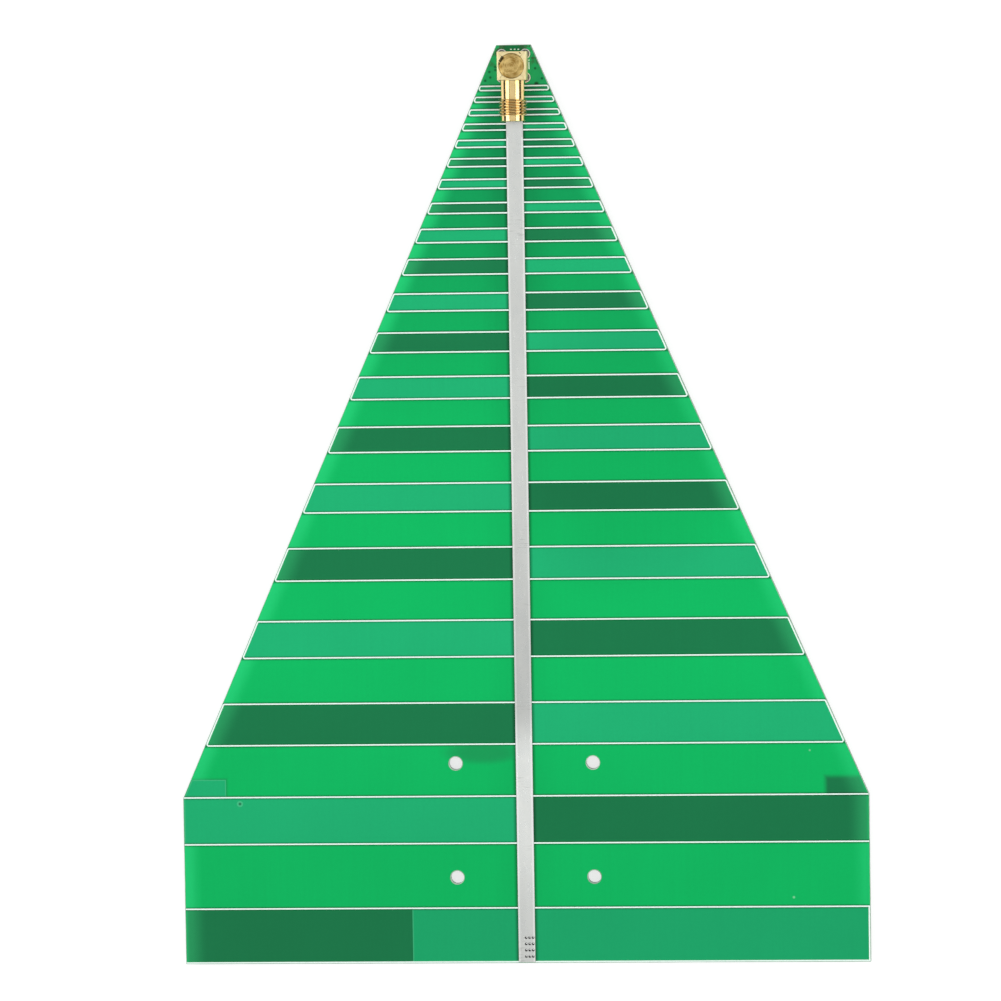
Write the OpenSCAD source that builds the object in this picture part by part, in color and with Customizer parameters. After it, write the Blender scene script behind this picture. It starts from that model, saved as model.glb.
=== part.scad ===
// Log-periodic dipole antenna etched on a fan-shaped circuit board, with a right-angle coaxial jack.
// The board lies flat with its component face up. X runs across the board, Y runs from the wide rear
// edge towards the narrow feed tip, and the origin is the middle of the four mounting holes, on the
// laminate's back face. Lengths are in millimetres and angles in degrees.

/* [Board] */
// Length from the rear edge to the feed tip
board_len = 200; // [190:0.5:210]
// Width over the straight sides
board_w = 150; // [140:0.5:160]
// Thickness of the bare laminate
board_t = 1.6; // [0.8:0.1:2.4]
// Width of the feed tip
tip_w = 7.45; // [7:0.05:9]
// Angle of each slanted side from the centre line
flare_angle = 23.57; // [22:0.01:25]

/* [Mounting holes] */
// Diameter of each mounting hole
hole_d = 2.8; // [2.2:0.1:4.3]
// Distance between the holes across the board
hole_pitch_x = 30; // [24:0.5:40]
// Distance between the holes along the board
hole_pitch_y = 25; // [22:0.5:28]
// Distance from the rear edge to the first pair of holes
hole_setback = 18.9; // [16:0.1:21]
// Bare margin that solder mask leaves round each mounting hole
hole_relief = 0.2; // [0:0.05:0.5]
// Least distance from a mounting hole to copper
hole_copper_gap = 0.5; // [0.2:0.1:1.5]

/* [Dipoles] */
// Number of dipoles, the rear one included
dipole_count = 20; // [12:1:20]
// Ratio of each dipole's distance from the apex to the one behind it
tau = 0.8808; // [0.875:0.0002:0.886]
// Distance from the apex to where the progression starts
first_reach = 201.14; // [198:0.02:204]
// Distance from the feed tip to the apex that the dipoles converge on
apex_gap = 8.685; // [7:0.005:10]
// Width of a rear dipole as a share of its distance from the apex
rear_width_ratio = 0.0583; // [0.04:0.0001:0.07]
// Width of a front dipole as a share of its distance from the apex
tip_width_ratio = 0.0505; // [0.04:0.0001:0.07]
// Number of dipoles that have the rear width ratio
rear_ratio_count = 11; // [1:1:19]
// Distance from the rear edge to the top of the rear dipole
rear_dipole_h = 12.15; // [8:0.05:16]
// How far the rear dipole's copper passes the centre line
rear_overlap = 25; // [10:0.5:40]
// Width of the loading stub at the end of the second dipole
stub_w = 9.5; // [4:0.1:15]
// Height of the loading stub over the second dipole
stub_h = 3.95; // [2:0.05:6]
// Distance from the board's edge to copper
copper_inset = 0.2; // [0.15:0.05:0.5]

/* [Layers] */
// Thickness of each copper layer
copper_t = 0.035; // [0.018:0.001:0.07]
// Thickness of solder mask over copper
mask_t = 0.02; // [0.01:0.005:0.04]
// Bare rim that solder mask leaves along the board's edge
mask_inset = 0.12; // [0.05:0.01:0.3]
// Bare margin that solder mask leaves round bare copper
mask_relief = 0.05; // [0.02:0.01:0.15]
// Thickness of the tin on bare copper
tin_t = 0.02; // [0.005:0.005:0.04]
// Thickness of the copper in plated holes
plating_t = 0.05; // [0.02:0.005:0.08]

/* [Feed line] */
// Width of the bare feed line on each face
line_w = 3.6; // [3:0.1:4.6]
// Gap between the last dipole and the tip ground plane
plane_gap = 0.35; // [0.2:0.05:0.8]
// Width of the trace that joins the back feed line to the pin
pin_trace_w = 1.6; // [1:0.1:2]
// Gap between the ground plane and the pin's copper
plane_clearance = 0.45; // [0.3:0.05:0.6]

/* [Vias] */
// Drilled diameter of a via at the tail of the feed line
tail_via_d = 0.5; // [0.3:0.05:0.6]
// Columns of tail vias
tail_via_cols = 3; // [1:1:3]
// Rows of tail vias
tail_via_rows = 4; // [1:1:5]
// Distance between the columns of tail vias
tail_via_pitch_x = 0.76; // [0.65:0.01:0.9]
// Distance between the rows of tail vias
tail_via_pitch_y = 1.38; // [0.8:0.01:1.6]
// Distance from the rear edge to the first row of tail vias
tail_via_setback = 1.45; // [0.8:0.05:3]
// Distance from the centre line to the middle column of tail vias
tail_via_offset = 0.6; // [0:0.01:0.62]
// Drilled diameter of a via that solder mask covers
tented_via_d = 0.35; // [0.2:0.05:0.5]
// Ring of copper round a lone via
via_ring = 0.28; // [0.15:0.01:0.4]
// Distance from the board's left side to the probe via
probe_via_inset = 12.5; // [11:0.1:20]
// Distance from the second dipole's top down to the probe via
probe_via_drop = 1.4; // [1:0.1:4]

/* [Legend] */
// Thickness of the legend ink
legend_t = 0.02; // [0.01:0.005:0.04]
// Width of a legend line
legend_line = 0.3; // [0.2:0.05:0.5]
// Distance from the board's edge to the middle of a legend line
legend_inset = 0.3; // [0.25:0.05:0.6]
// Corner radius in the middle of a legend line
legend_corner = 0.35; // [0.3:0.05:0.45]
// Rear dipoles whose outlines run off the board's sides
open_outlines = 2; // [2:1:6]
// Line width of the marks printed round the jack
jack_mark_w = 0.2; // [0.15:0.05:0.3]
// Gap between the jack and the marks printed round it
jack_mark_gap = 0.25; // [0.1:0.05:0.6]
// Length of the broken marks beside the jack
jack_mark_len = 2.1; // [1:0.1:4]
// How far the broken marks start behind the jack's axis
jack_mark_drop = 0.8; // [0:0.1:1.5]
// Length of the short marks over the jack
jack_tick = 0.35; // [0.2:0.05:0.5]
// Distance between the short marks
jack_tick_pitch = 0.8; // [0.6:0.05:0.9]
// Distance from the centre line to the middle short mark
jack_tick_offset = 0.3; // [0:0.05:0.5]

/* [Jack body] */
// Side of the square block
jack_w = 6.2; // [6:0.05:7]
// Height of the block over the board
jack_h = 6.4; // [6.3:0.05:7]
// Distance from the feed tip to the jack's upright axis
jack_setback = 4.55; // [4.4:0.05:5.2]
// Height of the barrel's axis over the board
jack_axis_h = 3.2; // [3.15:0.01:3.5]
// Distance between the legs
leg_pitch = 5.08; // [4.8:0.01:5.1]
// Side of each square leg
leg_w = 0.95; // [0.6:0.05:1]
// Length of each leg under the block
leg_len = 3.4; // [3.2:0.1:5]
// Diameter of the upright chamber
chamber_d = 4.2; // [3.6:0.05:4.3]
// Diameter of the cap
cap_d = 5.5; // [5:0.05:5.8]
// Thickness of the cap
cap_t = 0.6; // [0.3:0.05:0.8]
// How far the cap's face lies under the block's top
cap_sink = 0.05; // [0.02:0.01:0.2]
// Depth of the punch marks that hold the cap
punch_depth = 0.2; // [0.1:0.05:0.4]

/* [Jack barrel] */
// Diameter of the neck and of the collar at the mouth
neck_d = 5.35; // [5.1:0.05:5.6]
// Length of the neck
neck_len = 4.1; // [2:0.1:5]
// Outside diameter of the coupling thread
thread_d = 6.25; // [6:0.05:6.25]
// Length of the coupling thread
thread_len = 3.45; // [3:0.05:5]
// Length of the collar at the mouth
collar_len = 1.3; // [0.5:0.1:2]
// Diameter of the mouth
mouth_d = 4.6; // [4.5:0.05:4.8]
// Depth of the mouth
mouth_depth = 1.9; // [1.5:0.1:2.5]
// Diameter of the bore behind the mouth
insulator_d = 4.1; // [3.6:0.05:4.3]
// Wall of the spigot that is pressed into the block
spigot_wall = 0.35; // [0.2:0.05:0.4]

/* [Contact] */
// Diameter of the centre contact and of the pin
contact_d = 1.27; // [1:0.01:1.4]
// Diameter of the socket in the contact
socket_d = 0.92; // [0.8:0.01:0.94]
// Depth of the socket
socket_depth = 2; // [1.5:0.1:3]
// Width of the slot in the socket
slot_w = 0.2; // [0.1:0.02:0.24]
// How far the contact lies under the insulator's face
contact_sink = 0.1; // [0:0.05:0.3]
// How far the contact passes the pin
contact_tail = 1; // [0.7:0.1:1.2]
// Diameter of the pin where it crosses the contact
pin_neck_d = 0.7; // [0.4:0.05:0.8]
// Length of the pin under the block
pin_len = 3.3; // [3.1:0.1:4.9]

/* [Fits and solder] */
// Radial gap between pressed or soldered pieces
fit_gap = 0.01; // [0.005:0.005:0.03]
// Radial gap between a leg's corners and its plated hole
leg_hole_gap = 0.08; // [0.05:0.01:0.15]
// Radial gap between the pin and its plated hole
pin_hole_gap = 0.1; // [0.05:0.01:0.15]
// Ring of copper round each leg hole
leg_ring = 0.3; // [0.2:0.05:0.4]
// Ring of copper round the pin hole
pin_ring = 0.35; // [0.2:0.05:0.4]
// Height of the solder cones on the back face
solder_h = 0.7; // [0.3:0.05:0.75]
// How far the solder in a leg hole stops under the front face
solder_sink = 0.3; // [0.1:0.05:0.5]
// How far a solder cone stays inside its copper ring
solder_margin = 0.1; // [0.05:0.01:0.15]

/* [Hidden] */
$fn = 64;

// How far a cutting solid passes the face it opens
cut = 0.1;
// Flat steps in each rounded corner of a legend line
corner_steps = 5;

// Heights of the layers over the laminate's back face
front_copper_z = board_t + copper_t;
front_mask_z = front_copper_z + mask_t;
seat_z = front_copper_z + max(mask_t, tin_t);
back_mask_z = -copper_t - mask_t;

// Places along the board, from the rear edge
hole_mid_y = hole_setback + hole_pitch_y / 2;
side_apex_y = board_len + tip_w / 2 / tan(flare_angle);
dipole_apex_y = board_len + apex_gap;
jack_y = board_len - jack_setback;
tail_via_y = tail_via_setback + (tail_via_rows - 1) * tail_via_pitch_y / 2;

// Plated holes: the wall's inside, the drilled hole and the copper ring
leg_hole_d = leg_w * sqrt(2) + 2 * leg_hole_gap;
leg_drill_d = leg_hole_d + 2 * plating_t;
leg_pad_d = leg_drill_d + 2 * leg_ring;
pin_hole_d = contact_d + 2 * pin_hole_gap;
pin_drill_d = pin_hole_d + 2 * plating_t;
pin_pad_d = pin_drill_d + 2 * pin_ring;
via_wall_t = plating_t / 2;

// Barrel sections, as distances from the block's front face
spigot_len = (jack_w - max(chamber_d, insulator_d)) / 2 - 2 * fit_gap;
spigot_d = insulator_d + 2 * spigot_wall;
thread_end = neck_len + thread_len;
mouth_end = thread_end + collar_len;
face_end = mouth_end - mouth_depth;
pin_place = -jack_w / 2;

// Tented vias at the tip: side, distance from the slanted edge, distance from the feed tip
tip_vias = [
    [-1, 1.8, 4.75], [-1, 2.1, 5.4], [-1, 1, 5.8], [-1, 1.7, 7], [-1, 0.9, 7.7],
    [1, 1.3, 5.15], [1, 0.8, 7.35]
];

// Punch marks: angle, distance from the jack's axis, length, width
punch_marks = [[145, 2.57, 1.3, 0.7], [169, 2.7, 0.4, 0.35], [55, 3.36, 0.5, 0.25]];

// ---- Functions

// Half of the board's width at a distance from the rear edge, less a margin along the edge
function half_width(y, inset = 0) =
    min(board_w / 2 - inset, (side_apex_y - y) * tan(flare_angle) - inset / cos(flare_angle));

// Distance of a dipole from the apex, counted from the rear dipole, which is 0
function reach(n) = first_reach * pow(tau, n);
function bar_w(n) = reach(n) * (n <= rear_ratio_count ? rear_width_ratio : tip_width_ratio);
function bar_low(n) = n == 0 ? 0 : dipole_apex_y - reach(n) - bar_w(n) / 2;
function bar_high(n) = n == 0 ? rear_dipole_h : dipole_apex_y - reach(n) + bar_w(n) / 2;

// The side that a dipole's front half is on: the rear dipole's is on the right
function front_side(n) = n % 2 == 0 ? 1 : -1;

plane_y = bar_high(dipole_count - 1) + plane_gap;

function tip_via_place(v) =
    let(y = board_len - v[2])
    [v[0] * (half_width(y) - v[1]), y];

probe_via_place = [probe_via_inset - board_w / 2, bar_high(1) - probe_via_drop];
tented_via_places = concat([for (v = tip_vias) tip_via_place(v)], [probe_via_place]);
tail_via_places = [
    for (col = [0:tail_via_cols - 1], row = [0:tail_via_rows - 1])
        [
            tail_via_offset + (col - (tail_via_cols - 1) / 2) * tail_via_pitch_x,
            tail_via_y + (row - (tail_via_rows - 1) / 2) * tail_via_pitch_y
        ]
];
leg_places = [for (x = [-1, 1], y = [-1, 1]) [x * leg_pitch / 2, jack_y + y * leg_pitch / 2]];
hole_places = [for (x = [-1, 1], y = [-1, 1]) [x * hole_pitch_x / 2, hole_mid_y + y * hole_pitch_y / 2]];

// Points round a corner that turns left, on an arc that shares its centre with the middle of the line
function corner_arc(corner, heading, turn, mid_r, r) =
    let(
        start = corner - mid_r * tan(turn / 2) * [cos(heading), sin(heading)],
        centre = start + mid_r * [-sin(heading), cos(heading)]
    )
    [for (i = [0:corner_steps])
        let(a = heading + turn * i / corner_steps)
        centre + r * [sin(a), -cos(a)]];

// One side of the line round a half dipole, from its rear edge round the tip to its front edge
function outline_side(n, offset) =
    let(
        low = [half_width(bar_low(n), legend_inset), bar_low(n)],
        high = [half_width(bar_high(n), legend_inset), bar_high(n)],
        heading = atan2(high[1] - low[1], high[0] - low[0]),
        start_x = line_w / 2
    )
    concat(
        [[start_x, low[1] - offset]],
        corner_arc(low, 0, heading, legend_corner, legend_corner + offset),
        corner_arc(high, heading, 180 - heading, legend_corner, legend_corner + offset),
        [[start_x, high[1] + offset]]
    );

function reversed(list) = [for (i = [len(list) - 1:-1:0]) list[i]];

// ---- Shared shapes

// Moves board places, which count from the rear edge, to the origin between the mounting holes
module on_board() {
    translate([0, -hole_mid_y, 0]) children();
}

// Stands a shape on the jack's upright axis, with the block's underside at height 0
module on_jack() {
    on_board() translate([0, jack_y, seat_z]) children();
}

// Lays a shape along the barrel, with height 0 at the block's front face
module along_barrel() {
    on_jack() translate([0, -jack_w / 2, jack_axis_h]) rotate([90, 0, 0]) children();
}

module slab(z, t) {
    translate([0, 0, z]) linear_extrude(height = t) children();
}

module at_places(places) {
    for (p = places) translate(p) children();
}

module fan(inset = 0) {
    side = board_w / 2 - inset;
    tip = half_width(board_len - inset, inset);
    shoulder_y = side_apex_y - (side + inset / cos(flare_angle)) / tan(flare_angle);
    polygon([
        [-side, inset], [side, inset], [side, shoulder_y],
        [tip, board_len - inset], [-tip, board_len - inset], [-side, shoulder_y]
    ]);
}

// A block on one side of the centre line, between two distances from it
module side_block(side, from_x, to_x, low, high) {
    x = side > 0 ? from_x : -to_x;
    translate([x, low]) square([to_x - from_x, high - low]);
}

// The half dipoles, stub and feed line of one face: 1 for the front and -1 for the back
module etched_arms(face) {
    intersection() {
        union() {
            for (n = [0:dipole_count - 1])
                side_block(face * front_side(n), 0, board_w / 2, bar_low(n), bar_high(n));
            side_block(-face * front_side(0), 0, rear_overlap, bar_low(0), bar_high(0));
            side_block(
                face * front_side(1), board_w / 2 - stub_w, board_w / 2,
                bar_low(1), bar_high(1) + stub_h
            );
        }
        fan(copper_inset);
    }
}

module feed_line(end_y, margin = 0, start_y = 0) {
    translate([-line_w / 2 - margin, start_y]) square([line_w + 2 * margin, end_y - start_y]);
}

// The narrow trace on the back, from the feed line to the pin's ring
module pin_trace(margin = 0) {
    translate([-pin_trace_w / 2 - margin, 0]) square([pin_trace_w + 2 * margin, jack_y]);
    translate([0, jack_y]) circle(d = pin_pad_d + 2 * margin);
}

module tip_plane() {
    intersection() {
        fan(copper_inset);
        translate([-board_w / 2, plane_y]) square([board_w, board_len - plane_y]);
    }
}

module leg_circles(d) {
    at_places(leg_places) circle(d = d);
}

// Every hole that a drill makes through copper
module copper_drills() {
    at_places(hole_places) circle(d = hole_d + 2 * hole_copper_gap);
    at_places(tail_via_places) circle(d = tail_via_d);
    at_places(tented_via_places) circle(d = tented_via_d);
    leg_circles(leg_drill_d);
}

module front_copper_shape() {
    difference() {
        union() {
            etched_arms(1);
            feed_line(plane_y + cut, start_y = copper_inset);
            tip_plane();
            leg_circles(leg_pad_d);
        }
        copper_drills();
        translate([0, jack_y]) circle(d = pin_drill_d + 2 * plane_clearance);
    }
}

module back_copper_shape() {
    difference() {
        union() {
            etched_arms(-1);
            feed_line(plane_y - plane_gap, start_y = copper_inset);
            intersection() {
                pin_trace();
                translate([-board_w / 2, copper_inset]) square([board_w, board_len]);
            }
            difference() {
                union() {
                    tip_plane();
                    leg_circles(leg_pad_d);
                }
                pin_trace(plane_clearance);
            }
            translate(probe_via_place) circle(d = tented_via_d + 2 * via_ring);
        }
        copper_drills();
        translate([0, jack_y]) circle(d = pin_drill_d);
    }
}

// What the tin covers on each face, with the plated holes left open
module front_bare_shape() {
    difference() {
        union() {
            feed_line(plane_y, start_y = copper_inset);
            leg_circles(leg_pad_d);
        }
        at_places(tail_via_places) circle(d = tail_via_d - 2 * via_wall_t);
        leg_circles(leg_hole_d);
    }
}

module back_bare_shape() {
    difference() {
        union() {
            feed_line(plane_y - plane_gap, start_y = copper_inset);
            intersection() {
                pin_trace();
                translate([-board_w / 2, copper_inset]) square([board_w, board_len]);
            }
            leg_circles(leg_pad_d);
        }
        at_places(tail_via_places) circle(d = tail_via_d - 2 * via_wall_t);
        leg_circles(leg_hole_d);
        translate([0, jack_y]) circle(d = pin_hole_d);
    }
}

// Openings in the solder mask over bare copper and round holes
module front_openings() {
    feed_line(plane_y + mask_relief, mask_relief, -cut);
    leg_circles(leg_pad_d + 2 * mask_relief);
    at_places(hole_places) circle(d = hole_d + 2 * hole_relief);
    translate([0, jack_y]) circle(d = pin_drill_d + 2 * mask_relief);
}

module back_openings() {
    feed_line(plane_y - plane_gap + mask_relief, mask_relief, -cut);
    pin_trace(mask_relief);
    leg_circles(leg_pad_d + 2 * mask_relief);
    at_places(hole_places) circle(d = hole_d + 2 * hole_relief);
}

// The line round both halves of a dipole, open at the feed line
module dipole_outline(n) {
    half = legend_line / 2;
    if (n < open_outlines) {
        low = max(bar_low(n), legend_inset);
        for (y = [low, bar_high(n)])
            translate([-board_w / 2, y - half]) square([board_w, legend_line]);
    } else {
        for (side = [0, 1])
            mirror([side, 0])
                polygon(concat(outline_side(n, half), reversed(outline_side(n, -half))));
    }
}

// The line down the right side of the rear dipole
module rear_side_line() {
    x = board_w / 2 - legend_inset;
    translate([x - legend_line / 2, legend_inset]) square([legend_line, rear_dipole_h - legend_inset]);
}

// A broken mark on each side of the jack and three short ones over it
module jack_marks() {
    gap = jack_w / 2 + jack_mark_gap;
    low = jack_y - jack_mark_drop;
    high = low + jack_mark_len;
    for (side = [0, 1])
        mirror([side, 0]) translate([gap - jack_mark_w / 2, 0]) {
            translate([0, low]) square([jack_mark_w, jack_mark_len - 1.5 * jack_tick]);
            translate([0, high - jack_tick]) square([jack_mark_w, jack_tick]);
        }
    for (i = [-1:1])
        translate([jack_tick_offset + i * jack_tick_pitch - jack_tick / 2, jack_y + gap + jack_mark_w / 2])
            square([jack_tick, jack_mark_w]);
}

// A plated wall from the back copper up to a height
module plated_wall(drill_d, wall_t, top) {
    translate([0, 0, -copper_t]) difference() {
        cylinder(d = drill_d, h = top + copper_t);
        translate([0, 0, -cut]) cylinder(d = drill_d - 2 * wall_t, h = top + copper_t + 2 * cut);
    }
}

// Solder in a plated hole up to a height, with a cone under the back copper
module hole_solder(hole_d, pad_d, tip_d, top) {
    back = -copper_t - tin_t;
    translate([0, 0, back]) cylinder(d = hole_d - 2 * fit_gap, h = top - back);
    translate([0, 0, back - solder_h])
        cylinder(d1 = tip_d, d2 = pad_d - 2 * solder_margin, h = solder_h);
}

module leg_post(extra) {
    side = leg_w + 2 * extra;
    translate([-side / 2, -side / 2, -leg_len]) cube([side, side, leg_len + cut]);
}

module punch_pockets() {
    for (m = punch_marks)
        rotate([0, 0, m[0]])
            translate([m[1] - m[3] / 2, -m[2] / 2, jack_h - punch_depth])
                cube([m[3], m[2], punch_depth + cut]);
}

// ---- Pieces

module laminate() {
    color([0.74, 0.72, 0.5]) on_board() slab(0, board_t) difference() {
        fan();
        at_places(hole_places) circle(d = hole_d);
        at_places(tail_via_places) circle(d = tail_via_d);
        at_places(tented_via_places) circle(d = tented_via_d);
        leg_circles(leg_drill_d);
        translate([0, jack_y]) circle(d = pin_drill_d);
    }
}

module front_copper() {
    color([0.78, 0.46, 0.3]) on_board() slab(board_t, copper_t) front_copper_shape();
}

module back_copper() {
    color([0.78, 0.46, 0.3]) on_board() slab(-copper_t, copper_t) back_copper_shape();
}

// The mask fills the spaces between the copper and covers it with a level face
module front_solder_mask() {
    color([0.07, 0.62, 0.34]) on_board() difference() {
        slab(board_t, copper_t + mask_t) difference() {
            fan(mask_inset);
            front_openings();
        }
        slab(board_t - cut, copper_t + cut) difference() {
            union() {
                etched_arms(1);
                tip_plane();
            }
            at_places(hole_places) circle(d = hole_d + 2 * hole_copper_gap);
            translate([0, jack_y]) circle(d = pin_drill_d + 2 * plane_clearance);
        }
    }
}

module back_solder_mask() {
    color([0.07, 0.62, 0.34]) on_board() difference() {
        slab(back_mask_z, copper_t + mask_t) difference() {
            fan(mask_inset);
            back_openings();
        }
        slab(-copper_t, copper_t + cut) difference() {
            union() {
                etched_arms(-1);
                difference() {
                    tip_plane();
                    pin_trace(plane_clearance);
                }
                translate(probe_via_place) circle(d = tented_via_d + 2 * via_ring);
            }
            at_places(hole_places) circle(d = hole_d + 2 * hole_copper_gap);
        }
    }
}

module front_legend() {
    color([0.93, 0.97, 0.94]) on_board() slab(front_mask_z, legend_t) intersection() {
        fan(mask_inset);
        difference() {
            union() {
                for (n = [0:dipole_count - 1]) dipole_outline(n);
                rear_side_line();
                jack_marks();
            }
            feed_line(board_len - jack_setback, mask_relief, -cut);
            leg_circles(leg_pad_d + 2 * mask_relief);
            translate([-jack_w / 2, jack_y - jack_w / 2]) square(jack_w);
        }
    }
}

module front_tinning() {
    color([0.8, 0.8, 0.78]) on_board() slab(front_copper_z, tin_t) front_bare_shape();
}

module back_tinning() {
    color([0.8, 0.8, 0.78]) on_board() slab(-copper_t - tin_t, tin_t) back_bare_shape();
}

module tail_vias() {
    color([0.72, 0.66, 0.6]) on_board() at_places(tail_via_places)
        plated_wall(tail_via_d, via_wall_t, front_copper_z);
}

module tented_vias() {
    color([0.72, 0.66, 0.6]) on_board() at_places(tented_via_places)
        plated_wall(tented_via_d, via_wall_t, front_copper_z);
}

module leg_hole_platings() {
    color([0.72, 0.66, 0.6]) on_board() at_places(leg_places)
        plated_wall(leg_drill_d, plating_t, front_copper_z);
}

module pin_hole_plating() {
    color([0.72, 0.66, 0.6]) on_board() translate([0, jack_y])
        plated_wall(pin_drill_d, plating_t, board_t);
}

// Square block with four legs, an upright chamber, a seat for the cap and a bore for the barrel
module jack_body() {
    color([0.86, 0.7, 0.36]) {
        difference() {
            union() {
                on_jack() translate([-jack_w / 2, -jack_w / 2, 0]) cube([jack_w, jack_w, jack_h]);
                on_jack() for (x = [-1, 1], y = [-1, 1])
                    translate([x * leg_pitch / 2, y * leg_pitch / 2, 0]) leg_post(0);
            }
            on_jack() translate([0, 0, -cut]) cylinder(d = chamber_d, h = jack_h);
            on_jack() translate([0, 0, jack_h - cap_t - cap_sink])
                cylinder(d = cap_d + 2 * fit_gap, h = cap_t + cap_sink + cut);
            along_barrel() translate([0, 0, -spigot_len])
                cylinder(d = spigot_d + 2 * fit_gap, h = spigot_len + cut);
            along_barrel() translate([0, 0, pin_place]) cylinder(d = insulator_d, h = -pin_place);
            on_jack() punch_pockets();
        }
    }
}

// Neck, coupling thread and collar, turned with the spigot as one tube
module jack_barrel() {
    color([0.86, 0.7, 0.36]) along_barrel() difference() {
        union() {
            translate([0, 0, -spigot_len]) cylinder(d = spigot_d, h = spigot_len + cut);
            cylinder(d = neck_d, h = mouth_end);
            translate([0, 0, neck_len]) cylinder(d = thread_d, h = thread_len);
        }
        translate([0, 0, -spigot_len - cut]) cylinder(d = insulator_d, h = spigot_len + mouth_end);
        translate([0, 0, face_end]) cylinder(d = mouth_d, h = mouth_depth + cut);
    }
}

module jack_cap() {
    color([0.72, 0.58, 0.32]) on_jack() difference() {
        translate([0, 0, jack_h - cap_t - cap_sink]) cylinder(d = cap_d, h = cap_t);
        punch_pockets();
    }
}

module barrel_insulator() {
    color([0.94, 0.94, 0.92]) along_barrel() difference() {
        translate([0, 0, -spigot_len]) cylinder(d = insulator_d - 2 * fit_gap, h = spigot_len + face_end);
        translate([0, 0, -spigot_len - cut])
            cylinder(d = contact_d + 2 * fit_gap, h = spigot_len + face_end + 2 * cut);
    }
}

module body_insulator() {
    height = jack_axis_h - contact_d / 2 - fit_gap;
    color([0.94, 0.94, 0.92]) on_jack() difference() {
        cylinder(d = chamber_d - 2 * fit_gap, h = height);
        translate([0, 0, -cut]) cylinder(d = contact_d + 2 * fit_gap, h = height + 2 * cut);
    }
}

// Slotted socket at the mouth and a cross hole for the pin at the other end
module centre_contact() {
    tip = face_end - contact_sink;
    color([0.86, 0.7, 0.36]) along_barrel() difference() {
        translate([0, 0, pin_place - contact_tail]) cylinder(d = contact_d, h = tip - pin_place + contact_tail);
        translate([0, 0, tip - socket_depth]) cylinder(d = socket_d, h = socket_depth + cut);
        translate([-slot_w / 2, -contact_d, tip - socket_depth])
            cube([slot_w, 2 * contact_d, socket_depth + cut]);
        translate([0, contact_d, pin_place]) rotate([90, 0, 0])
            cylinder(d = pin_neck_d + 2 * fit_gap, h = 2 * contact_d);
    }
}

module contact_pin() {
    shoulder = jack_axis_h - contact_d / 2 - fit_gap;
    color([0.86, 0.7, 0.36]) on_jack() {
        translate([0, 0, -pin_len]) cylinder(d = contact_d, h = pin_len + shoulder);
        cylinder(d = pin_neck_d, h = jack_axis_h + contact_d / 2);
    }
}

module leg_solder() {
    tip_d = leg_w * sqrt(2) + leg_hole_gap;
    color([0.78, 0.78, 0.76]) on_board() at_places(leg_places) difference() {
        hole_solder(leg_hole_d, leg_pad_d, tip_d, board_t - solder_sink);
        translate([0, 0, seat_z]) leg_post(fit_gap);
    }
}

module pin_solder() {
    tip_d = contact_d + pin_hole_gap;
    color([0.78, 0.78, 0.76]) on_board() translate([0, jack_y]) difference() {
        hole_solder(pin_hole_d, pin_pad_d, tip_d, board_t - solder_sink);
        translate([0, 0, -pin_len]) cylinder(d = contact_d + 2 * fit_gap, h = 2 * pin_len);
    }
}

laminate();
front_copper();
back_copper();
front_solder_mask();
back_solder_mask();
front_legend();
front_tinning();
back_tinning();
tail_vias();
tented_vias();
leg_hole_platings();
pin_hole_plating();
jack_body();
jack_barrel();
jack_cap();
barrel_insulator();
body_insulator();
centre_contact();
contact_pin();
leg_solder();
pin_solder();
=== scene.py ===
# %% [markdown]
# # A log-periodic antenna board
# This lesson dresses the solids of a printed antenna: a fan-shaped circuit board with twenty
# etched dipoles, a bare feed line down its middle and a gold right-angle jack at its narrow tip.
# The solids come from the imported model. They get their finishes here, and the jack's block, cap
# and barrel and the solder joints are made anew with finer forms.

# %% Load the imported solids
import math
import bmesh
import bpy
from mathutils import Matrix, Vector


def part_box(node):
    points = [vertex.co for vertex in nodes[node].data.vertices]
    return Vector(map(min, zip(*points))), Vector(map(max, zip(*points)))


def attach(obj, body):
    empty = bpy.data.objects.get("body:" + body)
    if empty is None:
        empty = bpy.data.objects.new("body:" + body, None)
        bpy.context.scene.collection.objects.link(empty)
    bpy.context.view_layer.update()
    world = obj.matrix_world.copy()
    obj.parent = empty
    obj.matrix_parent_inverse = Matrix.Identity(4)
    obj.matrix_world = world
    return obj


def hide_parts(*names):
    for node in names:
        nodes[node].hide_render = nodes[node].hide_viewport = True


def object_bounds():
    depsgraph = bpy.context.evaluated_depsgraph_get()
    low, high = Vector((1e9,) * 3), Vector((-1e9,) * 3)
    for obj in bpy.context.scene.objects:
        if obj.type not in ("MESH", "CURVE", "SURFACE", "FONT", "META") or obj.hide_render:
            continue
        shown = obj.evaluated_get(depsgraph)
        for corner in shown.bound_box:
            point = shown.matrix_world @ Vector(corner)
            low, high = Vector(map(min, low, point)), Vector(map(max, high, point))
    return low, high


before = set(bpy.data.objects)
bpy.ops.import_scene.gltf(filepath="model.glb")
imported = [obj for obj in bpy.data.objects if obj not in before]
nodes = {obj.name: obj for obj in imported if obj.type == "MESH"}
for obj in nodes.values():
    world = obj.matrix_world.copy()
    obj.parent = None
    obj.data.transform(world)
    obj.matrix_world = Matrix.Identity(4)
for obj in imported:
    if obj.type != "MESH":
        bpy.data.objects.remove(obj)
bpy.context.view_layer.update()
MM = 0.001

# %% [markdown]
# ## The board's figures
# Every dipole is a scaled copy of the one behind it, so a few figures place them all: the
# distance of the rear dipole from the apex, the ratio between neighbours, and the width as a
# share of the distance. The materials use them to paint the copper that shows through the mask.

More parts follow.
